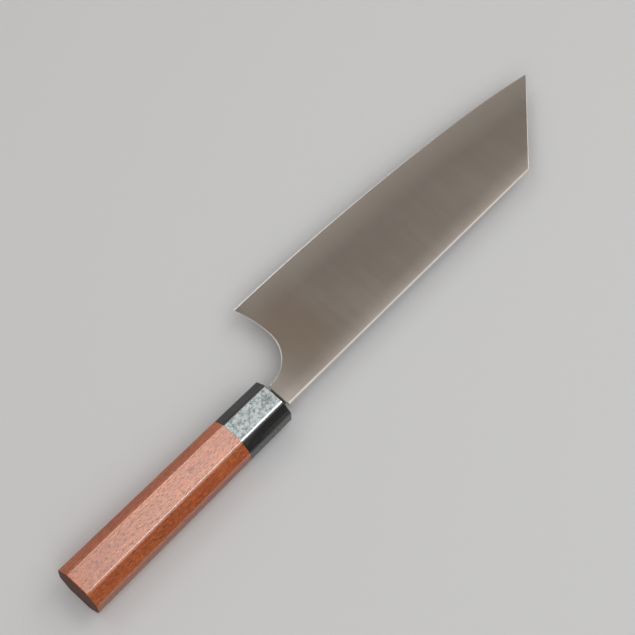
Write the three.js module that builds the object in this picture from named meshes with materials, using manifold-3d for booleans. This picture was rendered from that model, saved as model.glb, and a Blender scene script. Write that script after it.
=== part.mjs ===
// Bunka knife: a double-bevel kitchen knife with a clipped tip, a stick tang and an octagonal handle.
// Units are millimetres. The knife lies on its side: +X points to the tip, +Y to the cutting edge,
// +Z out of the upper flat. While it is built, X = 0 is the blade's shoulder, Y = 0 is the spine
// and Z = 0 is the blade's middle plane. At the end the whole knife moves to its own origin.
import * as THREE from "three";
import { LoftGeometry } from "three/addons/geometries/LoftGeometry.js";
import { mergeVertices } from "three/addons/utils/BufferGeometryUtils.js";
import Module from "manifold-3d";

// Blade outline
const bladeLength = 180; // heel to tip, along the spine's direction
const heelHeight = 49.5; // spine to edge at the heel
const tipHeight = 34.2; // spine line to tip
const clipRun = 36; // clip from its spine corner to the tip, along the spine's direction
const heelReach = 60; // how far the edge keeps the heel's straight direction
const tipReach = 40; // how far the edge keeps the tip's direction
const tipSweep = 13; // degrees that the edge leans to the spine at the tip

// Neck and choil
const neckLength = 15.3; // shoulder to heel
const neckHeight = 12.5;
const neckStraight = 1; // straight part of the neck beside the shoulder
const choilSetback = 2.9; // how far the choil's wall lies ahead of the heel
const choilRise = 17.8; // height of the choil's round corner over the neck

// Blade thickness
const spineAtShoulder = 2.4;
const spineAtClip = 1.8;
const thicknessBehindEdge = 0.24; // where the flats meet the edge bevel, at the thinnest place
const edgeBevelWidth = 0.7;

// Tang
const tangLength = 78; // behind the shoulder
const tangHeight = 9;
const tangEndHeight = 5;
const tangThickness = 2;
const tangRoot = 3; // how far the tang reaches into the blade's neck

// Handle
const shoulderGap = 3.3; // bare tang between the shoulder and the ferrule
const ferruleLength = 26;
const ferruleWall = 5.8; // front wall of the ferrule, ahead of its dowel bore
const bodyLength = 95.1;
const buttHeight = 24.2;
const frontHeight = 21.8;
const buttThickness = 20.2;
const frontThickness = 18.3;
const buttFacetCut = 5.6; // how much each slanted facet takes off a corner, both ways
const frontFacetCut = 5.1;
const ferruleChamfer = 1;
const buttChamfer = 0.8;
const glueLine = 0.1; // between ferrule and body

// Inside the handle
const dowelMargin = 1.8; // dowel beyond the tang's height on each side
const dowelTail = 10.3; // solid dowel behind the kerf
const boreClearance = 0.2; // around the dowel and at both its ends
const tangClearance = 0.3; // around the tang in the ferrule's mouth, the kerf and the bedding
const beddingClearance = 0.15; // between the bedding and the kerf's walls
const beddingTail = 3; // bedding behind the tang's end

// Smoothness of the curves, in straight steps
const edgeSteps = 40;
const heelSweepSteps = 8;
const choilSteps = 16;
const roundSteps = 32;

// Places that follow from the sizes
const heelX = neckLength;
const tipX = heelX + bladeLength;
const clipX = tipX - clipRun;
const choilX = heelX + choilSetback;
const choilCentreY = neckHeight + choilRise;
const handleY = neckHeight / 2;
const ferruleFrontX = -shoulderGap;
const jointX = ferruleFrontX - ferruleLength;
const bodyFrontX = jointX - glueLine;
const buttX = bodyFrontX - bodyLength;
const dowelDiameter = tangHeight + 2 * dowelMargin;
const boreDiameter = dowelDiameter + 2 * boreClearance;
const dowelFrontX = ferruleFrontX - ferruleWall - boreClearance;
const kerfWidth = tangThickness + 2 * tangClearance;
const kerfEndX = -tangLength - beddingTail;
const dowelEndX = kerfEndX - dowelTail;

const wasm = await Module();
wasm.setup();

// A closed geometry as a solid that can be joined and cut
function toSolid(geometry) {
  geometry.deleteAttribute("normal");
  geometry.deleteAttribute("uv");
  const merged = mergeVertices(geometry);
  const vertProperties = merged.attributes.position.array;
  const triVerts = new Uint32Array(merged.index.array);
  return new wasm.Manifold(new wasm.Mesh({ numProp: 3, vertProperties, triVerts }));
}

// A solid as a geometry with flat faces
function toGeometry(solid) {
  const mesh = solid.getMesh();
  const indexed = new THREE.BufferGeometry();
  indexed.setAttribute("position", new THREE.BufferAttribute(mesh.vertProperties, 3));
  indexed.setIndex(new THREE.BufferAttribute(mesh.triVerts, 1));
  const flat = indexed.toNonIndexed();
  flat.computeVertexNormals();
  return flat;
}

// A closed skin over a row of sections, as a plain geometry
function loft(sections) {
  const skin = new LoftGeometry(sections, { capStart: true, capEnd: true });
  return new THREE.BufferGeometry().copy(skin);
}

// A round bar on the handle's axis from one X to another
function axisBar(diameter, fromX, toX) {
  const bar = new THREE.CylinderGeometry(diameter / 2, diameter / 2, toX - fromX, roundSteps);
  bar.rotateZ(-Math.PI / 2);
  bar.translate((fromX + toX) / 2, handleY, 0);
  return toSolid(bar);
}

// A block centred on the handle's axis from one X to another
function axisBlock(height, thickness, fromX, toX) {
  const block = new THREE.BoxGeometry(toX - fromX, height, thickness);
  block.translate((fromX + toX) / 2, handleY, 0);
  return toSolid(block);
}

// Blade: three rings, the lower flat, the cutting edge at mid thickness and the upper flat
function bladeSolid() {
  const heel = new THREE.Vector2(heelX, heelHeight);
  const tip = new THREE.Vector2(tipX, tipHeight);
  const clipCorner = new THREE.Vector2(clipX, 0);
  const sweep = THREE.MathUtils.degToRad(tipSweep);
  const edge = new THREE.CubicBezierCurve(
    heel,
    new THREE.Vector2(heelX + heelReach, heelHeight),
    new THREE.Vector2(tipX - tipReach * Math.cos(sweep), tipHeight + tipReach * Math.sin(sweep)),
    tip,
  );

  // The cutting edge and, an edge bevel further in, the line where the flats end
  const apex = edge.getPoints(edgeSteps);
  const flatEnd = apex.map((point, i) => {
    const along = edge.getTangent(i / edgeSteps);
    return new THREE.Vector2(along.y, -along.x).multiplyScalar(edgeBevelWidth).add(point);
  });

  // At the tip that line ends on the clip
  const downClip = clipCorner.clone().sub(tip).normalize();
  const backAlongEdge = edge.getTangent(1).negate();
  const tipAngle = Math.acos(downClip.dot(backAlongEdge));
  flatEnd[edgeSteps] = downClip.multiplyScalar(edgeBevelWidth / Math.sin(tipAngle)).add(tip);

  // The choil runs from the heel down to a round corner and out along the neck
  const flatHeel = flatEnd[0];
  const heelSweep = new THREE.QuadraticBezierCurve(
    flatHeel,
    new THREE.Vector2(choilX, (flatHeel.y + choilCentreY) / 2),
    new THREE.Vector2(choilX, choilCentreY),
  );
  const choilRun = choilX - neckStraight;
  const roundCorner = new THREE.EllipseCurve(
    neckStraight, choilCentreY, choilRun, choilRise, 0, -Math.PI / 2, true,
  );
  const choil = [
    ...heelSweep.getPoints(heelSweepSteps).slice(1),
    ...roundCorner.getPoints(choilSteps).slice(1),
  ];

  // Each flat is a plane: thick at the spine and shoulder, thin at the edge and tip
  const spineTaper = (spineAtShoulder - spineAtClip) / 2 / clipX;
  const spineHalf = (x) => spineAtShoulder / 2 - spineTaper * x;
  const slopes = flatEnd.map((point) => (spineHalf(point.x) - thicknessBehindEdge / 2) / point.y);
  const flatSlope = Math.min(...slopes);
  const flatHeight = (point) => spineHalf(point.x) - flatSlope * point.y;

  const ring = (edgeLine, height) => {
    const outline = [
      new THREE.Vector2(0, 0),
      clipCorner,
      ...edgeLine.slice().reverse(),
      ...choil,
      new THREE.Vector2(0, neckHeight),
    ];
    return outline.map((point) => new THREE.Vector3(point.x, point.y, height(point)));
  };
  const rings = [
    ring(flatEnd, (point) => -flatHeight(point)),
    ring(apex, () => 0),
    ring(flatEnd, flatHeight),
  ];
  return toSolid(loft(rings));
}

// Tang: a flat bar that loses height to its end, enlarged all round by a clearance where it is a cut
function tangSolid(clearance) {
  const section = (x, height) => {
    const y = height / 2 + clearance;
    const z = tangThickness / 2 + clearance;
    const corners = [[-y, -z], [y, -z], [y, z], [-y, z]];
    return corners.map(([across, up]) => new THREE.Vector3(x, handleY + across, up));
  };
  return toSolid(loft([
    section(-tangLength - clearance, tangEndHeight),
    section(0, tangHeight),
    section(tangRoot, tangHeight),
  ]));
}

// Handle section: an octagon that tapers evenly from the butt to the ferrule's front
function octagon(x, inset = 0) {
  const share = (x - buttX) / (ferruleFrontX - buttX);
  const y = THREE.MathUtils.lerp(buttHeight, frontHeight, share) / 2 - inset;
  const z = THREE.MathUtils.lerp(buttThickness, frontThickness, share) / 2 - inset;
  const cut = THREE.MathUtils.lerp(buttFacetCut, frontFacetCut, share) - inset * (2 - Math.SQRT2);
  const corners = [
    [y, cut - z], [y, z - cut], [y - cut, z], [cut - y, z],
    [-y, z - cut], [-y, cut - z], [cut - y, -z], [y - cut, -z],
  ];
  return corners.map(([across, up]) => new THREE.Vector3(x, handleY + across, up));
}

function ferruleSolid() {
  const block = toSolid(loft([
    octagon(jointX),
    octagon(ferruleFrontX - ferruleChamfer),
    octagon(ferruleFrontX, ferruleChamfer),
  ]));
  const bore = axisBar(boreDiameter, bodyFrontX, dowelFrontX + boreClearance);
  return block.subtract(bore).subtract(tangSolid(tangClearance));
}

function bodySolid() {
  const block = toSolid(loft([
    octagon(buttX, buttChamfer),
    octagon(buttX + buttChamfer),
    octagon(bodyFrontX),
  ]));
  return block.subtract(axisBar(boreDiameter, dowelEndX - boreClearance, jointX));
}

// Dowel with a sawn kerf, open to the front, for the tang
function dowelSolid() {
  const bar = axisBar(dowelDiameter, dowelEndX, dowelFrontX);
  return bar.subtract(axisBlock(boreDiameter, kerfWidth, kerfEndX, ferruleFrontX));
}

// Cured resin in the kerf, above, below and behind the tang
function beddingSolid() {
  const thickness = kerfWidth - 2 * beddingClearance;
  const height = Math.sqrt(dowelDiameter ** 2 - kerfWidth ** 2);
  const slab = axisBlock(height, thickness, kerfEndX + beddingClearance, dowelFrontX);
  return slab.subtract(tangSolid(tangClearance));
}

function piece(name, solid, color, roughness, metalness) {
  const material = new THREE.MeshStandardMaterial({ color, roughness, metalness });
  const mesh = new THREE.Mesh(toGeometry(solid), material);
  mesh.name = name;
  return mesh;
}

const pieces = [
  piece("blade", bladeSolid().add(tangSolid(0)), 0x7b7168, 0.38, 1),
  piece("ferrule", ferruleSolid(), 0x161817, 0.3, 0),
  piece("handle_body", bodySolid(), 0x8a4526, 0.5, 0),
  piece("core_dowel", dowelSolid(), 0xc9a878, 0.7, 0),
  piece("tang_bedding", beddingSolid(), 0xb8a67a, 0.5, 0),
];

// The origin lies under the middle of the knife, level with the lowest line of its handle
const lying = new THREE.Group();
lying.add(...pieces);
const box = new THREE.Box3().setFromObject(lying);
const middle = box.getCenter(new THREE.Vector3());
lying.position.set(-middle.x, -middle.y, -box.min.z);

const knife = new THREE.Group();
knife.add(lying);

export default knife;
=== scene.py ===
import bmesh
import bpy
import math
from mathutils import Matrix, Vector
from mathutils.geometry import interpolate_bezier


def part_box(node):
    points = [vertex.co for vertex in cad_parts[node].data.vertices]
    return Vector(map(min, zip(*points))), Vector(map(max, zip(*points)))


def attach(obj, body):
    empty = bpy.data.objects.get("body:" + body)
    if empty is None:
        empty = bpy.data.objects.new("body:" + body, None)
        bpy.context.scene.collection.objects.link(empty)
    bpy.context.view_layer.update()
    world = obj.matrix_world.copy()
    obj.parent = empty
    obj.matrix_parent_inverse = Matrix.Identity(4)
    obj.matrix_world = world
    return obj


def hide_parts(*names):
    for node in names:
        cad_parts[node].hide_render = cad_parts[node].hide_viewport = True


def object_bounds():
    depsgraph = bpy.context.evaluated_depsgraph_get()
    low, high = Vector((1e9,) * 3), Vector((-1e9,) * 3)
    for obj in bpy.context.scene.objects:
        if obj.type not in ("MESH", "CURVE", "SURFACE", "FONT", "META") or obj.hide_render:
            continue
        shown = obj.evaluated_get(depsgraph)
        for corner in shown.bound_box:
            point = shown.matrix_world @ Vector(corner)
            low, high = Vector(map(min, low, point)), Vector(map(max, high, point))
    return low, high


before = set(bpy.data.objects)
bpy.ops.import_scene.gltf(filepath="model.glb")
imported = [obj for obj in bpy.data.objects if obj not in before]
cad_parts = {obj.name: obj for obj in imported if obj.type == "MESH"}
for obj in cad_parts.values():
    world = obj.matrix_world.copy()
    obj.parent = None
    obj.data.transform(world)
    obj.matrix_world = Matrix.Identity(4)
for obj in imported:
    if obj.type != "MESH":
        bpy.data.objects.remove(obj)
cadLow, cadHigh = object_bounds()
mm = 0.001
print("frame loaded with", len(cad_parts), "nodes")

# The maker's zero: the blade's shoulder along X, its spine along Y, the middle of the steel along Z
shoulderGap = 3.3  # bare tang between shoulder and ferrule, in millimetres like the next two
tipHair = 0.002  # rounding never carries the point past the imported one
touch = 0.001  # points this near each other count as one place
bladeLow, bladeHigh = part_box("blade")
ferruleLow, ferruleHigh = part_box("ferrule")
bodyLow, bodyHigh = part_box("handle_body")
dowelLow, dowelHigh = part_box("core_dowel")
zero = Vector((ferruleHigh.x + shoulderGap * mm, bladeLow.y, (bladeLow.z + bladeHigh.z) / 2))


def fromZero(corner):
    return (corner - zero) / mm


# Every shape below is drawn in millimetres from that zero
tip = fromZero(bladeHigh) - Vector((tipHair, 0, 0))
tangEnd = fromZero(bladeLow)
ferruleRear = fromZero(ferruleLow)
ferruleFront = fromZero(ferruleHigh)
butt = fromZero(bodyLow)
bodyFront = fromZero(bodyHigh)
dowelRear = fromZero(dowelLow)
dowelFront = fromZero(dowelHigh)
handleY = (butt.y + bodyFront.y) / 2


class Wire:  # one output of a finish's nodes, so that maths on it reads as an expression
    def __init__(self, finish, socket):
        self.finish = finish
        self.socket = socket

    def math(self, operation, first, second):
        return self.finish.node("Math", {"operation": operation}, {0: first, 1: second})

    def __add__(self, other):
        return self.math("ADD", self, other)

    def __radd__(self, other):
        return self.math("ADD", other, self)

    def __sub__(self, other):
        return self.math("SUBTRACT", self, other)

    def __rsub__(self, other):
        return self.math("SUBTRACT", other, self)

    def __mul__(self, other):
        return self.math("MULTIPLY", self, other)

    def __rmul__(self, other):
        return self.math("MULTIPLY", other, self)


class Finish:  # one material, built node by node
    def __init__(self, name):
        self.material = bpy.data.materials.new(name)
        self.material.use_nodes = True
        self.tree = self.material.node_tree
        self.tree.nodes.clear()

    def node(self, kind, settings, sockets, out=0):
        made = self.tree.nodes.new("ShaderNode" + kind)
        for key, value in settings.items():
            setattr(made, key, value)
        for key, value in sockets.items():
            if isinstance(value, Wire):
                self.tree.links.new(value.socket, made.inputs[key])
            else:
                made.inputs[key].default_value = value
        return Wire(self, made.outputs[out]) if made.outputs else None

    def place(self, turn=(0, 0, 0), stretch=(1, 1, 1)):  # the piece's own coordinates, from zero
        spot = self.node("TexCoord", {}, {}, "Object")
        centred = self.node("VectorMath", {"operation": "SUBTRACT"}, {0: spot, 1: zero})
        angles = [math.radians(angle) for angle in turn]
        return self.node("Mapping", {}, {"Vector": centred, "Rotation": angles, "Scale": stretch})

    def noise(self, spot, scale, detail, rough, twist=0.0):  # the scale counts per metre
        return self.node("TexNoise", {}, {
            "Vector": spot,
            "Scale": scale,
            "Detail": detail,
            "Roughness": rough,
            "Distortion": twist,
        })

    def step(self, value, start, end):  # a soft step from 0 to 1
        sockets = {"Value": value, "From Min": start, "From Max": end}
        return self.node("MapRange", {"interpolation_type": "SMOOTHSTEP"}, sockets)

    def mix(self, share, first, second):  # two colours
        sockets = {0: share}
        for key, colour in ((6, first), (7, second)):
            sockets[key] = colour if isinstance(colour, Wire) else (*colour, 1)
        return self.node("Mix", {"data_type": "RGBA"}, sockets, 2)

    def bump(self, height, depth, strength):
        return self.node("Bump", {}, {"Height": height, "Distance": depth, "Strength": strength})

    def close(self, **sockets):  # the surface itself, from plain socket names
        named = {key.replace("_", " "): value for key, value in sockets.items()}
        surface = self.node("BsdfPrincipled", {}, named)
        self.node("OutputMaterial", {}, {"Surface": surface})
        return self.material


def markFaces(bm, name, faces):  # a mark on these faces alone, for wear or polish in the finish
    layer = bm.loops.layers.float.get(name) or bm.loops.layers.float.new(name)
    for face in faces:
        for corner in face.loops:
            corner[layer] = 1.0


def liesAt(part, x):  # whether a whole edge or face lies in this plane across the knife
    return all(abs(vert.co.x - x) < touch for vert in part.verts)


def endVerts(bm, x):
    return [vert for vert in bm.verts if abs(vert.co.x - x) < touch]


def endEdges(bm, x):
    return [edge for edge in bm.edges if liesAt(edge, x)]


def longEdges(bm):  # those that run along the knife by more than a millimetre
    return [edge for edge in bm.edges if abs(edge.verts[0].co.x - edge.verts[1].co.x) > 1]


def settle(bm, name, node, material, sharpAngle):  # from drawn millimetres to the frame
    bmesh.ops.remove_doubles(bm, verts=bm.verts, dist=2 * touch)
    bmesh.ops.recalc_face_normals(bm, faces=bm.faces)
    for face in bm.faces:
        face.smooth = True
    for edge in bm.edges:
        if edge.calc_face_angle(0) > math.radians(sharpAngle):
            edge.smooth = False
    bmesh.ops.transform(bm, matrix=Matrix.Translation(zero) @ Matrix.Scale(mm, 4), verts=bm.verts)
    mesh = bpy.data.meshes.new(name)
    bm.to_mesh(mesh)
    bm.free()
    mesh.materials.append(material)
    piece = bpy.data.objects.new(name, mesh)
    bpy.context.scene.collection.objects.link(piece)
    even = piece.modifiers.new("evenFacets", "WEIGHTED_NORMAL")
    even.keep_sharp = True
    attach(piece, "root")
    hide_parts(node)
    print(name, "has", len(mesh.polygons), "faces")


# Blade
bladeShape = {
    "neckLength": 15.3,  # shoulder to heel
    "neckHeight": 12.5,
    "neckStraight": 1.0,
    "choilSetback": 2.9,  # the choil's wall lies this far ahead of the heel
    "choilRise": 17.8,  # height of its round corner over the neck
    "clipRun": 36.0,
    "tipHeight": 34.2,
    "heelReach": 60.0,  # how far the edge keeps the heel's direction, then the tip's
    "tipReach": 40.0,
    "tipSweep": 13.0,  # degrees
    "spineAtClip": 1.8,
    "behindEdge": 0.24,  # thickness where the flats meet the edge bevel
    "edgeBevel": 0.45,
    "belly": 0.08,  # how far each flat swells between spine and edge
    "spineRound": 0.45,  # easing of spine and clip
    "choilRound": 0.4,
    "edgeHaze": 14.0,  # width of the brighter band painted along the edge as a reflection
    "tangHeight": 9.0,
    "tangEndHeight": 5.0,
    "tangThickness": 2.0,
}
bladeMesh = {
    "cornerColumns": 28,  # round corner of the choil
    "sweepColumns": 16,  # from there to the heel
    "edgeColumns": 180,
    "clipColumn": 140,  # the edge column that ends at the clip's corner on the spine
    "heelBack": 34.0,  # where the heel's column ends on the spine
    "flatRows": 22,
    "roundSteps": 4,
    "rimRoom": 0.55,  # share of a column that its rounded back and bevel may take near the tip
    "rimShare": 0.45,  # share of the half thickness that a rounding may take
    "mitreLimit": 0.5,  # least cosine at a corner, so that a mitre at most doubles
    "sharpAngle": 30,  # degrees between faces that meet in a crisp edge
}


def choilLine():  # along the neck's lower side and up the choil to the heel
    s = bladeShape
    wallX = s["neckLength"] + s["choilSetback"]
    cornerY = s["neckHeight"] + s["choilRise"]
    points = [Vector((0, s["neckHeight"]))]
    for step in range(bladeMesh["cornerColumns"]):
        angle = math.pi / 2 * step / bladeMesh["cornerColumns"]
        x = s["neckStraight"] + (wallX - s["neckStraight"]) * math.sin(angle)
        points.append(Vector((x, cornerY - s["choilRise"] * math.cos(angle))))
    start = Vector((wallX, cornerY))
    heel = Vector((s["neckLength"], tip.y))
    pull = Vector((wallX, (cornerY + tip.y) / 2))
    sweep = interpolate_bezier(
        start, start.lerp(pull, 2 / 3), heel.lerp(pull, 2 / 3), heel, bladeMesh["sweepColumns"] + 1)
    return points + [Vector(point[:2]) for point in sweep]


def edgeLine():  # heel to tip
    s = bladeShape
    sweep = math.radians(s["tipSweep"])
    heel = Vector((s["neckLength"], tip.y))
    point = Vector((tip.x, s["tipHeight"]))
    pullTip = point + s["tipReach"] * Vector((-math.cos(sweep), math.sin(sweep)))
    line = interpolate_bezier(
        heel, heel + Vector((s["heelReach"], 0)), pullTip, point, bladeMesh["edgeColumns"] + 1)
    return [Vector(spot[:2]) for spot in line]


def backLine(choilColumns):  # spine and clip, one point for each column
    m = bladeMesh
    corner = Vector((tip.x - bladeShape["clipRun"], 0))
    point = Vector((tip.x, bladeShape["tipHeight"]))
    heelBack = Vector((m["heelBack"], 0))
    clipColumns = m["edgeColumns"] - m["clipColumn"]
    points = [heelBack * (column / choilColumns) for column in range(choilColumns)]
    points += [heelBack.lerp(corner, column / m["clipColumn"]) for column in range(m["clipColumn"])]
    return points + [corner.lerp(point, column / clipColumns) for column in range(clipColumns + 1)]


def inward(points, column, side):  # square to a line of points, into the steel; mitred at corners
    here = points[column]
    before = (here - points[column - 1]).normalized() if column else None
    after = (points[column + 1] - here).normalized() if column + 1 < len(points) else None
    before = before or after
    after = after or before
    along = (before + after).normalized()
    return side * Vector((-along.y, along.x)) / max(along.dot(before), bladeMesh["mitreLimit"])


def bladeBlank():
    s = bladeShape
    choil = choilLine()
    edge = edgeLine()
    heelColumn = len(choil) - 1
    front = choil[:-1] + edge
    back = backLine(heelColumn)
    columns = len(front) - 1
    rimSteps = bladeMesh["roundSteps"] + 1
    rows = 2 * rimSteps + bladeMesh["flatRows"]
    halfBehindEdge = s["behindEdge"] / 2
    clipX = tip.x - s["clipRun"]
    taper = (tip.z - s["spineAtClip"] / 2) / clipX

    def edgeHeight(x):  # spine line to the end of the flats at this length
        later = next((k for k, spot in enumerate(edge) if spot.x >= x), len(edge) - 1)
        earlier = max(later - 1, 0)
        run = edge[later].x - edge[earlier].x
        share = min(max((x - edge[earlier].x) / run, 0), 1) if run else 0
        return edge[earlier].lerp(edge[later], share).y - s["edgeBevel"]

    def halfThick(spot):
        down = min(max(spot.y / edgeHeight(spot.x), 0), 1)
        thick = halfBehindEdge + (tip.z - taper * spot.x - halfBehindEdge) * (1 - down)
        return thick + s["belly"] * 4 * down * (1 - down)

    def easedRim(radius, thick, step):  # how far in and how high: middle plane, wall, then round
        if step == 0:
            return 0, 0
        angle = math.pi / 2 * (step - 1) / bladeMesh["roundSteps"]
        return radius * (1 - math.cos(angle)), thick - radius * (1 - math.sin(angle))

    def column(index):  # the points of one column from the spine's middle to the edge's
        room = bladeMesh["rimRoom"] * (front[index] - back[index]).length
        squeeze = min(1, room / (s["spineRound"] + s["edgeBevel"]))
        backIn = inward(back, index, 1)
        backRound = min(s["spineRound"] * squeeze, bladeMesh["rimShare"] * halfThick(back[index]))
        flatStart = back[index] + backIn * backRound
        line = []
        for step in range(rimSteps):
            depth, height = easedRim(backRound, halfThick(flatStart), step)
            line.append((back[index] + backIn * depth, height))
        choilRound = min(s["choilRound"], bladeMesh["rimShare"] * halfThick(front[index]))
        if index < heelColumn:
            offset = inward(front, index, -1) * choilRound
        elif index == heelColumn:
            upChoil = choil[-2] - choil[-1]
            offset = inward(choil, index, -1) * choilRound - upChoil * (s["edgeBevel"] / upChoil.y)
        else:
            offset = inward(edge, index - heelColumn, -1) * s["edgeBevel"] * squeeze
        flatEnd = front[index] + offset
        for row in range(bladeMesh["flatRows"] + 1):
            spot = flatStart.lerp(flatEnd, row / bladeMesh["flatRows"])
            line.append((spot, halfThick(spot)))
        for step in reversed(range(rimSteps)):
            if index < heelColumn:
                depth, height = easedRim(choilRound, halfThick(flatEnd), step)
                line.append((front[index] + offset * (depth / choilRound), height))
            else:
                share = step / rimSteps
                line.append((front[index] + offset * share, halfThick(flatEnd) * share))
        return line

    def nearEdge(index, spot):  # 1 at the cutting edge, fading up the flats and to the heel
        up = (front[index] - spot).length / s["edgeHaze"]
        heelward = (index - heelColumn) / bladeMesh["sweepColumns"]
        return max(1 - up, 0) * min(max(heelward, 0), 1)

    bm = bmesh.new()
    bmesh.ops.create_grid(bm, x_segments=columns, y_segments=rows, size=0.5)
    haze = bm.verts.layers.float.new("nearEdge")
    lines = [column(index) for index in range(columns)]
    lines.append([(front[-1], 0)] * (rows + 1))
    spots = {}
    for vert in bm.verts:
        key = (round((vert.co.x + 0.5) * columns), round((vert.co.y + 0.5) * rows))
        spots[vert] = key
    rim = []
    for face in bm.faces:
        middle = sum(spots[vert][1] for vert in face.verts) / 4
        if middle < rimSteps or middle > rows - rimSteps:
            rim.append(face)
    markFaces(bm, "polish", rim)
    for line in bm.edges:
        keys = [spots[vert] for vert in line.verts]
        if all(key[1] == rows - rimSteps and key[0] >= heelColumn for key in keys):
            line.smooth = False  # crisp line between flat and edge bevel
    for vert, (x, y) in spots.items():
        spot, height = lines[x][y]
        vert.co = (spot.x, spot.y, height)
        vert[haze] = nearEdge(x, spot)
    bmesh.ops.mirror(bm, geom=bm.verts[:] + bm.edges[:] + bm.faces[:], merge_dist=touch, axis="Z")
    return bm


def growTang(bm):  # a step in from the shoulder, then a bar that loses height to its end
    s = bladeShape
    middle = Matrix.Translation((0, -handleY, 0))
    rim = [edge for edge in endEdges(bm, 0) if edge.is_boundary]
    face = bmesh.ops.contextual_create(bm, geom=rim)["faces"][0]
    moves = (
        (0, s["tangHeight"] / s["neckHeight"], s["tangThickness"] / 2 / tip.z),
        (tangEnd.x, s["tangEndHeight"] / s["tangHeight"], 1),
    )
    for shift, tall, thick in moves:
        grown = bmesh.ops.extrude_discrete_faces(bm, faces=[face])
        face = grown["faces"][0]
        bmesh.ops.scale(bm, vec=(1, tall, thick), space=middle, verts=face.verts)
        bmesh.ops.translate(bm, vec=(shift, 0, 0), verts=face.verts)


def bladeSteel():
    look = {
        "satin": (0.52, 0.474, 0.437),
        "pale": (0.55, 0.505, 0.47),
        # the next tone is painted reflection, for the bands along the edge and the spine
        "paintedBands": (0.78, 0.727, 0.683),
        # the next tone is a painted brownish reflection by the heel
        "warm": (0.46, 0.36, 0.29),
        # near-white tone of the polished rims, partly a painted highlight
        "bright": (0.90, 0.88, 0.86),
        # the darker tone of the bare tang
        "scale": (0.07, 0.064, 0.06),
        "lines": (5200, 3, 0.6),  # scale, detail and roughness of each noise
        "streaks": (420, 3, 0.55),
        "clouds": (26, 3, 0.5),
        "lineRun": (1, 0.015, 1),  # drawn out from spine to edge
        "streakRun": (1, 0.06, 1),
        "lean": (0, 0, 4),  # degrees off square to the spine
        "spineHaze": 9.0,  # width of the brighter band painted along the spine as a reflection, in millimetres
        "shoulder": (-0.6, 0.1),  # where the darker bare tang gives way to satin
        "warmSpot": (26.0, 26.0, 0.0),  # a painted brownish reflection ahead of the choil, in millimetres from zero
        "warmReach": (3.0, 30.0),  # its tint fades between these
        "warmDrift": 20.0,  # and the clouds make that border uneven
        "warmShare": 0.66,
        "lineDepth": 0.0012,  # in millimetres
    }
    steel = Finish("bladeSteel")
    spot = steel.place()
    lines = steel.noise(steel.place(look["lean"], look["lineRun"]), *look["lines"])
    streaks = steel.noise(steel.place(look["lean"], look["streakRun"]), *look["streaks"])
    clouds = steel.noise(spot, *look["clouds"])
    polish = steel.node("Attribute", {"attribute_name": "polish"}, {}, "Fac")
    nearEdge = steel.node("Attribute", {"attribute_name": "nearEdge"}, {}, "Fac")
    warmSpot = mm * Vector(look["warmSpot"])
    away = steel.node("VectorMath", {"operation": "DISTANCE"}, {0: spot, 1: warmSpot}, 1)
    alongX = steel.node("SeparateXYZ", {}, {"Vector": spot}, "X")
    alongY = steel.node("SeparateXYZ", {}, {"Vector": spot}, "Y")
    nearSpine = 1 - steel.step(alongY, 0, look["spineHaze"] * mm)
    tangSide, satinSide = look["shoulder"]
    tang = 1 - steel.step(alongX, tangSide * mm, satinSide * mm)
    worked = steel.step(0.75 * clouds + 0.25 * streaks, 0.38, 0.66)
    tone = steel.mix(worked, look["satin"], look["pale"])
    tone = steel.mix(0.9 * nearEdge + 0.7 * nearSpine, tone, look["paintedBands"])  # painted reflection: brighter bands along the edge and the spine
    fadeStart, fadeEnd = look["warmReach"]
    uneven = away + look["warmDrift"] * mm * (clouds - 0.5)
    farFromWarm = steel.step(uneven, fadeStart * mm, fadeEnd * mm)
    # painted reflection: the warm patch ahead of the choil
    tone = steel.mix(look["warmShare"] - look["warmShare"] * farFromWarm, tone, look["warm"])
    tone = steel.mix(polish, tone, look["bright"])  # eased rims and edge bevel, polished, their near-white tone partly a painted highlight
    tone = steel.mix(tang, tone, look["scale"])  # the bare tang darker and duller than the blade
    rough = 0.18 + 0.04 * (streaks - 0.5) + 0.05 * (clouds - 0.5) + 0.02 * (lines - 0.5)
    return steel.close(
        Base_Color=tone,
        Metallic=1.0,
        Roughness=rough + 0.04 * polish + 0.3 * tang,
        Normal=steel.bump(lines + 0.25 * streaks, look["lineDepth"] * mm, 0.4),
    )


blank = bladeBlank()
growTang(blank)
settle(blank, "knife_blade", "blade", bladeSteel(), bladeMesh["sharpAngle"])

# Handle
handleShape = {
    "facetCut": 0.2325,  # share of the height that each slanted facet takes off a corner
    "buttRound": 0.8,
    "ferruleRound": 0.4,
    "bodyEase": 0.75,  # rounding of the facets' edges
    "ferruleEase": 1.1,
    "easeSteps": 5,
    "mouthRoom": 0.3,  # around the tang in the ferrule's mouth
    "mouthCorner": 0.4,
    "mouthSteps": 3,
    "boreRoom": 0.2,  # around the dowel
    "boreSteps": 48,
    "hair": 0.004,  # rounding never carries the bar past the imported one
    "sharpAngle": 25,  # degrees between faces that meet in a crisp edge
}


def handleSection(x):  # height and thickness, from the two solids' own taper
    buttX = butt.x + handleShape["buttRound"]
    share = (x - buttX) / (ferruleRear.x - buttX)
    buttTall = bodyFront.y - butt.y
    buttThick = bodyFront.z - butt.z
    tall = buttTall + share * ((ferruleFront.y - ferruleRear.y) - buttTall)
    thick = buttThick + share * ((ferruleFront.z - ferruleRear.z) - buttThick)
    return tall - handleShape["hair"], thick - handleShape["hair"]


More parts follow.
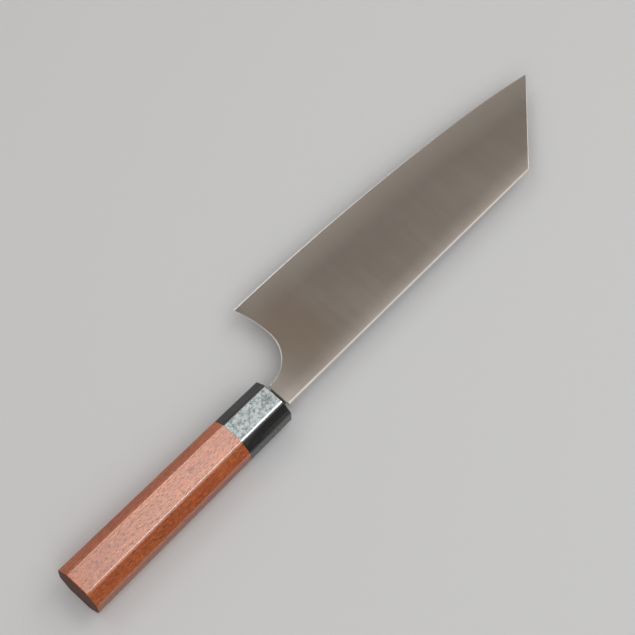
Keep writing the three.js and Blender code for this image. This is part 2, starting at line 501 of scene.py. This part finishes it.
def handleBar(rearX, frontX):  # an octagonal bar that tapers to the front
    tall, thick = handleSection(rearX)
    frontTall, frontThick = handleSection(frontX)
    bm = bmesh.new()
    bmesh.ops.create_cube(bm, size=1)
    bmesh.ops.scale(bm, vec=(frontX - rearX, tall, thick), verts=bm.verts)
    bmesh.ops.translate(bm, vec=((frontX + rearX) / 2, 0, 0), verts=bm.verts)
    cut = handleShape["facetCut"] * tall
    bmesh.ops.bevel(bm, geom=longEdges(bm), offset=cut, offset_type="OFFSET",
                    segments=1, profile=0.5, affect="EDGES", material=-1)
    bmesh.ops.scale(bm, vec=(1, frontTall / tall, frontThick / thick), verts=endVerts(bm, frontX))
    return bm


def roundOff(bm, edges, offset):  # marked, so that the finish shows them burnished
    steps = handleShape["easeSteps"]
    made = bmesh.ops.bevel(bm, geom=edges, offset=offset, offset_type="OFFSET",
                           segments=steps, profile=0.5, affect="EDGES", material=-1)
    markFaces(bm, "eased", made["faces"])


def openEnd(bm, x):  # takes the flat cap off and gives back its rim
    cap = [face for face in bm.faces if liesAt(face, x)]
    rim = list({edge for face in cap for edge in face.edges})
    bmesh.ops.delete(bm, geom=cap, context="FACES_ONLY")
    return rim


def acrossAt(x):  # stands a flat shape up across the handle
    return Matrix.Translation((x, 0, 0)) @ Matrix.Rotation(math.pi / 2, 4, "Y")


def ringAt(bm, x, radius):
    steps = handleShape["boreSteps"]
    ring = bmesh.ops.create_circle(bm, segments=steps, radius=radius, matrix=acrossAt(x))
    return list({edge for vert in ring["verts"] for edge in vert.link_edges})


def slotAt(bm, x, tall, thick):  # the tang's mouth, with small round corners
    s = handleShape
    made = bmesh.ops.create_grid(bm, x_segments=1, y_segments=1, size=0.5, matrix=acrossAt(x))
    bmesh.ops.scale(bm, vec=(1, tall, thick), verts=made["verts"])
    bmesh.ops.bevel(bm, geom=made["verts"], offset=s["mouthCorner"], offset_type="OFFSET",
                    segments=s["mouthSteps"], profile=0.5, affect="VERTICES", material=-1)
    return openEnd(bm, x)


def pull(bm, edges, x):  # extrudes a rim along the handle and gives back the new rim
    grown = bmesh.ops.extrude_edge_only(bm, edges=edges)["geom"]
    verts = [part for part in grown if isinstance(part, bmesh.types.BMVert)]
    for vert in verts:
        vert.co.x = x
    return [part for part in grown if isinstance(part, bmesh.types.BMEdge)
            and all(vert in verts for vert in part.verts)]


def fillBetween(bm, outer, inner):  # the flat face between two loops in one plane
    bmesh.ops.triangle_fill(bm, edges=outer + inner, use_beauty=True)


boreRadius = (dowelFront.y - dowelRear.y) / 2 + handleShape["boreRoom"]


def handleBody():
    bm = handleBar(butt.x, bodyFront.x)
    roundOff(bm, longEdges(bm), handleShape["bodyEase"])
    roundOff(bm, endEdges(bm, butt.x), handleShape["buttRound"])
    rim = openEnd(bm, bodyFront.x)
    mouth = ringAt(bm, bodyFront.x, boreRadius)
    fillBetween(bm, rim, mouth)
    bottom = pull(bm, mouth, dowelRear.x - handleShape["boreRoom"])
    bmesh.ops.contextual_create(bm, geom=bottom)
    bmesh.ops.translate(bm, vec=(0, handleY, 0), verts=bm.verts)
    return bm


def ferruleBlock():
    s = handleShape
    bm = handleBar(ferruleRear.x, ferruleFront.x)
    roundOff(bm, longEdges(bm), s["ferruleEase"])
    roundOff(bm, endEdges(bm, ferruleFront.x), s["ferruleRound"])
    front = openEnd(bm, ferruleFront.x)
    rear = openEnd(bm, ferruleRear.x)
    mouth = slotAt(bm, ferruleFront.x, bladeShape["tangHeight"] + 2 * s["mouthRoom"],
                   bladeShape["tangThickness"] + 2 * s["mouthRoom"])
    fillBetween(bm, front, mouth)
    boreEnd = dowelFront.x + s["boreRoom"]
    inner = pull(bm, mouth, boreEnd)
    bore = ringAt(bm, boreEnd, boreRadius)
    fillBetween(bm, bore, inner)
    fillBetween(bm, rear, pull(bm, bore, ferruleRear.x))
    bmesh.ops.translate(bm, vec=(0, handleY, 0), verts=bm.verts)
    return bm


def handleWood():
    look = {
        "orange": (0.395, 0.094, 0.022),
        "red": (0.265, 0.046, 0.013),
        "pore": (0.07, 0.015, 0.007),
        "worn": (0.51, 0.17, 0.058),
        # end grain tones, darkened further as painted shade on the butt face
        "endGrainShaded": (0.04, 0.0115, 0.006),
        "endRingShaded": (0.08, 0.0225, 0.0105),
        "fibre": (1900, 4, 0.6),  # scale, detail, roughness and any twist of each noise
        "bands": (420, 3, 0.55, 0.4),
        "patches": (60, 3, 0.5),
        "pores": (2500, 2, 0.5),
        "flecks": (1900, 2, 0.5),
        "fibreRun": (0.012, 1, 1),  # drawn out along the handle
        "bandRun": (0.03, 1, 1),
        "poreRun": (0.2, 1, 1),
        "fleckRun": (0.25, 1, 1),
        "grain": (0, 1.2, 2.0),  # degrees that it leans from the handle's length
        "fleckGrain": (90, 1.2, 2.0),
        "endDepth": (0.2, 0.7),  # the butt's darker end grain and painted shade fade between these, in millimetres from the butt
        "heldFrom": (1.2, 3.0),  # and the burnish starts between these
        "heart": (0.0, 21.0, -13.0),  # the tree's middle, in millimetres from zero
        "ringGap": 1.5,  # between growth rings
        "poreDepth": 0.02,
    }
    wood = Finish("handleWood")
    fibre = wood.noise(wood.place(look["grain"], look["fibreRun"]), *look["fibre"])
    bands = wood.noise(wood.place(look["grain"], look["bandRun"]), *look["bands"])
    patches = wood.noise(wood.place(), *look["patches"])
    openGrain = wood.noise(wood.place(look["grain"], look["poreRun"]), *look["pores"])
    pores = wood.step(openGrain, 0.52, 0.66)
    paleGrain = wood.noise(wood.place(look["fleckGrain"], look["fleckRun"]), *look["flecks"])
    flecks = wood.step(paleGrain, 0.52, 0.68)
    spot = wood.node("TexCoord", {}, {}, "Object")
    alongX = wood.node("SeparateXYZ", {}, {"Vector": spot}, "X")
    endStart, endStop = [bodyLow.x + depth * mm for depth in look["endDepth"]]
    heldStart, heldFull = [bodyLow.x + depth * mm for depth in look["heldFrom"]]
    endFace = 1 - wood.step(alongX, endStart, endStop)
    held = wood.step(alongX, heldStart, heldFull)
    worn = wood.node("Attribute", {"attribute_name": "eased"}, {}, "Fac")
    heart = mm * Vector(look["heart"])
    fromHeart = wood.node("VectorMath", {"operation": "SUBTRACT"}, {0: wood.place(), 1: heart})
    ringScale = 2 * math.pi / (20 * look["ringGap"] * mm)  # at scale 1 they lie 2 pi / 20 apart
    rings = wood.node("TexWave", {"wave_type": "RINGS", "rings_direction": "X"},
                      {"Vector": fromHeart, "Scale": ringScale, "Distortion": 2.5, "Detail": 2.0})
    figure = wood.step(0.6 * bands + 0.4 * patches, 0.32, 0.62)
    sawnAndShadedEnd = wood.mix(rings, look["endGrainShaded"], look["endRingShaded"])
    tone = wood.mix(figure, look["red"], look["orange"])
    tone = wood.mix(0.4 * wood.step(fibre, 0.45, 0.75), tone, look["red"])
    tone = wood.mix(0.6 * flecks, tone, look["worn"])
    tone = wood.mix(0.3 * worn, tone, look["worn"])  # ridges rubbed pale
    tone = wood.mix(0.75 * pores, tone, look["pore"])
    # the butt face: its end grain darker, and darker still as painted shade
    tone = wood.mix(0.85 * endFace, tone, sawnAndShadedEnd)
    rough = 0.28 + 0.1 * (fibre - 0.5) + 0.08 * pores + 0.45 * endFace
    return wood.close(
        Base_Color=tone,
        Roughness=rough,
        Normal=wood.bump(0.3 * fibre - pores, look["poreDepth"] * mm, 0.3),
        IOR=1.6,
        Coat_Weight=0.8 * worn * held,  # edges burnished by the hand
        Coat_Roughness=0.15,
        Coat_IOR=1.9,
    )


def ferruleHorn():
    look = {
        "black": (0.008, 0.008, 0.0085),
        "smoke": (0.028, 0.029, 0.027),
        "strands": (380, 4, 0.6),  # scale, detail, roughness and any twist of each noise
        "mottle": (620, 3, 0.6),
        "swirls": (240, 2, 0.5, 1.5),
        "strandRun": (0.08, 1, 1),  # drawn out along the handle
        "strandLean": (0, 0, 3),  # degrees
        "swirlTurn": (20, 10, 30),
        "dentDepth": 0.07,
    }
    horn = Finish("ferruleHorn")
    strands = horn.noise(horn.place(look["strandLean"], look["strandRun"]), *look["strands"])
    mottle = horn.noise(horn.place(), *look["mottle"])
    swirls = horn.noise(horn.place(look["swirlTurn"]), *look["swirls"])
    worn = horn.node("Attribute", {"attribute_name": "eased"}, {}, "Fac")
    tone = horn.mix(horn.step(strands, 0.5, 0.78), look["black"], look["smoke"])
    return horn.close(
        Base_Color=tone,
        Roughness=0.16 + 0.2 * horn.step(mottle, 0.4, 0.68) + 0.1 * (swirls - 0.5),
        Normal=horn.bump(mottle + 0.7 * swirls, look["dentDepth"] * mm, 0.7),
        IOR=1.45,
        Coat_Weight=0.8 * worn,
        Coat_Roughness=0.15,
        Coat_IOR=1.6,
    )


crisp = handleShape["sharpAngle"]
settle(handleBody(), "wooden_handle", "handle_body", handleWood(), crisp)
settle(ferruleBlock(), "horn_ferrule", "ferrule", ferruleHorn(), crisp)


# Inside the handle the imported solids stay, in their own finishes
def dowelWood():
    look = {
        "pale": (0.62, 0.43, 0.24),
        "late": (0.47, 0.29, 0.14),
        "pore": (0.30, 0.17, 0.08),
        "rings": (520, 3, 0.55, 0.3),  # scale, detail, roughness and any twist of each noise
        "pores": (2400, 2, 0.5),
        "ringRun": (0.03, 1, 1),  # drawn out along the handle
        "poreRun": (0.05, 1, 1),
        "grain": (0, 2, 1),  # degrees that it leans from the handle's length
        "poreDepth": 0.05,
    }
    wood = Finish("dowelWood")
    rings = wood.noise(wood.place(look["grain"], look["ringRun"]), *look["rings"])
    openGrain = wood.noise(wood.place(look["grain"], look["poreRun"]), *look["pores"])
    pores = wood.step(openGrain, 0.62, 0.7)
    tone = wood.mix(wood.step(rings, 0.4, 0.65), look["pale"], look["late"])
    tone = wood.mix(0.6 * pores, tone, look["pore"])
    return wood.close(
        Base_Color=tone,
        Roughness=0.66 + 0.15 * (rings - 0.5),
        Normal=wood.bump(rings - pores, look["poreDepth"] * mm, 0.5),
    )


def beddingResin():
    look = {
        "amber": (0.48, 0.36, 0.18),
        "milky": (0.60, 0.50, 0.31),
        "clouds": (240, 4, 0.6, 0.8),  # scale, detail, roughness and any twist of each noise
        "bubbles": (1700, 1, 0.5),
        "bubbleDepth": 0.05,
    }
    resin = Finish("beddingResin")
    clouds = resin.noise(resin.place(), *look["clouds"])
    bubbles = resin.step(resin.noise(resin.place(), *look["bubbles"]), 0.66, 0.72)
    tone = resin.mix(resin.step(clouds, 0.35, 0.65), look["amber"], look["milky"])
    return resin.close(
        Base_Color=tone,
        Roughness=0.42 + 0.2 * (clouds - 0.5),
        Normal=resin.bump(clouds - bubbles, look["bubbleDepth"] * mm, 0.5),
    )


for node, material in (("core_dowel", dowelWood()), ("tang_bedding", beddingResin())):
    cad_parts[node].data.materials[0] = material
print("finishes on the inner pieces")

# Studio
studio = {
    "floor": (0.80, 0.82, 0.85),  # slightly cool, to look neutral under the warm sky
    "floorShade": 0.985,  # its darker grain, as a share of that colour
    "floorGrain": (900, 2, 0.5),
    "floorSize": 10.0,
    "floorGap": 0.1,  # left under the handle, in millimetres
    "sky": (1.0, 0.92, 0.83),
    "skyLevel": 0.27,
}
lamps = {  # place, aim and size in metres, power in watts; "onto" keeps a lamp to these pieces
    "window": {"at": (-0.5, -0.5, 1.0), "to": (0, 0, 0), "size": (1.0, 1.4),
               "power": 4.4, "tint": (1.0, 1.0, 1.0)},
    "overhead": {"at": (0.02, 0.13, 0.44), "to": (0.02, 0.13, 0), "size": (0.1, 0.11),
                 "power": 0.033, "tint": (0.93, 0.97, 0.96)},
    "handleBox": {"at": (0.0, 0.06, 0.45), "to": (0.0, 0.06, 0), "size": (0.24, 0.19),
                  "power": 1.02, "tint": (1.0, 0.955, 0.89), "onto": ("wooden_handle",)},
    "ferruleBox": {"at": (0.035, 0.0475, 0.46), "to": (0.035, 0.0475, 0), "size": (0.16, 0.215),
                   "power": 1.9, "tint": (0.90, 1.0, 1.0), "onto": ("horn_ferrule",)},
    "glintBox": {"at": (0.065, -0.125, 0.47), "to": (0.065, -0.125, 0), "size": (0.13, 0.13),
                 "power": 1.3, "tint": (0.98, 1.0, 1.0), "onto": ("horn_ferrule",)},
    "bladeBox": {"at": (0.52, -0.12, 1.0), "to": (0.52, -0.12, 0), "size": (0.75, 0.665),
                 "power": 1.42, "tint": (1.0, 0.96, 0.91)},
    "spineBox": {"at": (0.49, -0.775, 1.0), "to": (0.49, -0.775, 0), "size": (0.9, 0.65),
                 "power": 1.75, "tint": (1.0, 1.0, 1.0)},
    "edgeBox": {"at": (0.34, 0.75, 0.9), "to": (0, 0, 0), "size": (0.4, 0.36),
                "power": 0.5, "tint": (1.0, 1.0, 1.0)},
    "choilBox": {"at": (-0.22, 0.62, 1.0), "to": (0, 0, 0), "size": (0.47, 0.47),
                 "power": 0.75, "tint": (1.0, 1.0, 1.0)},
    "tipBox": {"at": (1.0, -0.1, 0.8), "to": (0.1, 0, 0), "size": (0.5, 0.5),
               "power": 0.9, "tint": (1.0, 1.0, 1.0)},
}
camera = {
    "azimuth": -46.45,  # degrees
    "elevation": 67.22,
    "target": (38.84, 19.79, 0.0),  # from the maker's zero
    "distance": 1115.5,  # both in millimetres
    "focal": 2487.6,  # in pixels of a frame this wide
    "frame": 635,
    "sensor": 36.0,  # width in millimetres
}


def layFloor():
    bm = bmesh.new()
    bmesh.ops.create_grid(bm, x_segments=1, y_segments=1, size=studio["floorSize"] / 2)
    bmesh.ops.translate(bm, vec=(0, 0, cadLow.z - studio["floorGap"] * mm), verts=bm.verts)
    mesh = bpy.data.meshes.new("floor")
    bm.to_mesh(mesh)
    bm.free()
    paper = Finish("floorPaper")
    grainy = paper.noise(paper.place(), *studio["floorGrain"])
    shade = [studio["floorShade"] * part for part in studio["floor"]]
    tone = paper.mix(grainy, shade, studio["floor"])
    mesh.materials.append(paper.close(Base_Color=tone, Roughness=0.9, Specular_IOR_Level=0.1))
    floor = bpy.data.objects.new("floor", mesh)
    bpy.context.scene.collection.objects.link(floor)


def aim(thing, at, towards):
    thing.location = at
    thing.rotation_mode = "QUATERNION"
    thing.rotation_quaternion = (Vector(towards) - Vector(at)).to_track_quat("-Z", "Y")
    bpy.context.scene.collection.objects.link(thing)


def hangLamps():
    for name, lamp in lamps.items():
        light = bpy.data.lights.new(name, "AREA")
        light.shape = "RECTANGLE"
        light.size, light.size_y = lamp["size"]
        light.energy = lamp["power"]
        light.color = lamp["tint"]
        hung = bpy.data.objects.new(name, light)
        hung.visible_camera = False
        aim(hung, lamp["at"], lamp["to"])
        if "onto" in lamp:
            lit = bpy.data.collections.new(name)
            for piece in lamp["onto"]:
                lit.objects.link(bpy.data.objects[piece])
            hung.light_linking.receiver_collection = lit
    world = bpy.data.worlds.new("studio")
    world.use_nodes = True
    sky = world.node_tree.nodes["Background"]
    sky.inputs["Color"].default_value = (*studio["sky"], 1)
    sky.inputs["Strength"].default_value = studio["skyLevel"]
    bpy.context.scene.world = world


def setCamera():
    lens = bpy.data.cameras.new("camera")
    lens.sensor_width = camera["sensor"]
    lens.lens = camera["sensor"] * camera["focal"] / camera["frame"]
    turn = math.radians(camera["azimuth"])
    lift = math.radians(camera["elevation"])
    level = math.cos(lift)
    look = Vector((-math.sin(turn) * level, math.cos(turn) * level, -math.sin(lift)))
    target = zero + mm * Vector(camera["target"])
    eye = bpy.data.objects.new("camera", lens)
    aim(eye, target - look * camera["distance"] * mm, target)
    bpy.context.scene.camera = eye


layFloor()
hangLamps()
setCamera()
bpy.context.scene.view_settings.view_transform = "Standard"
print("studio set")
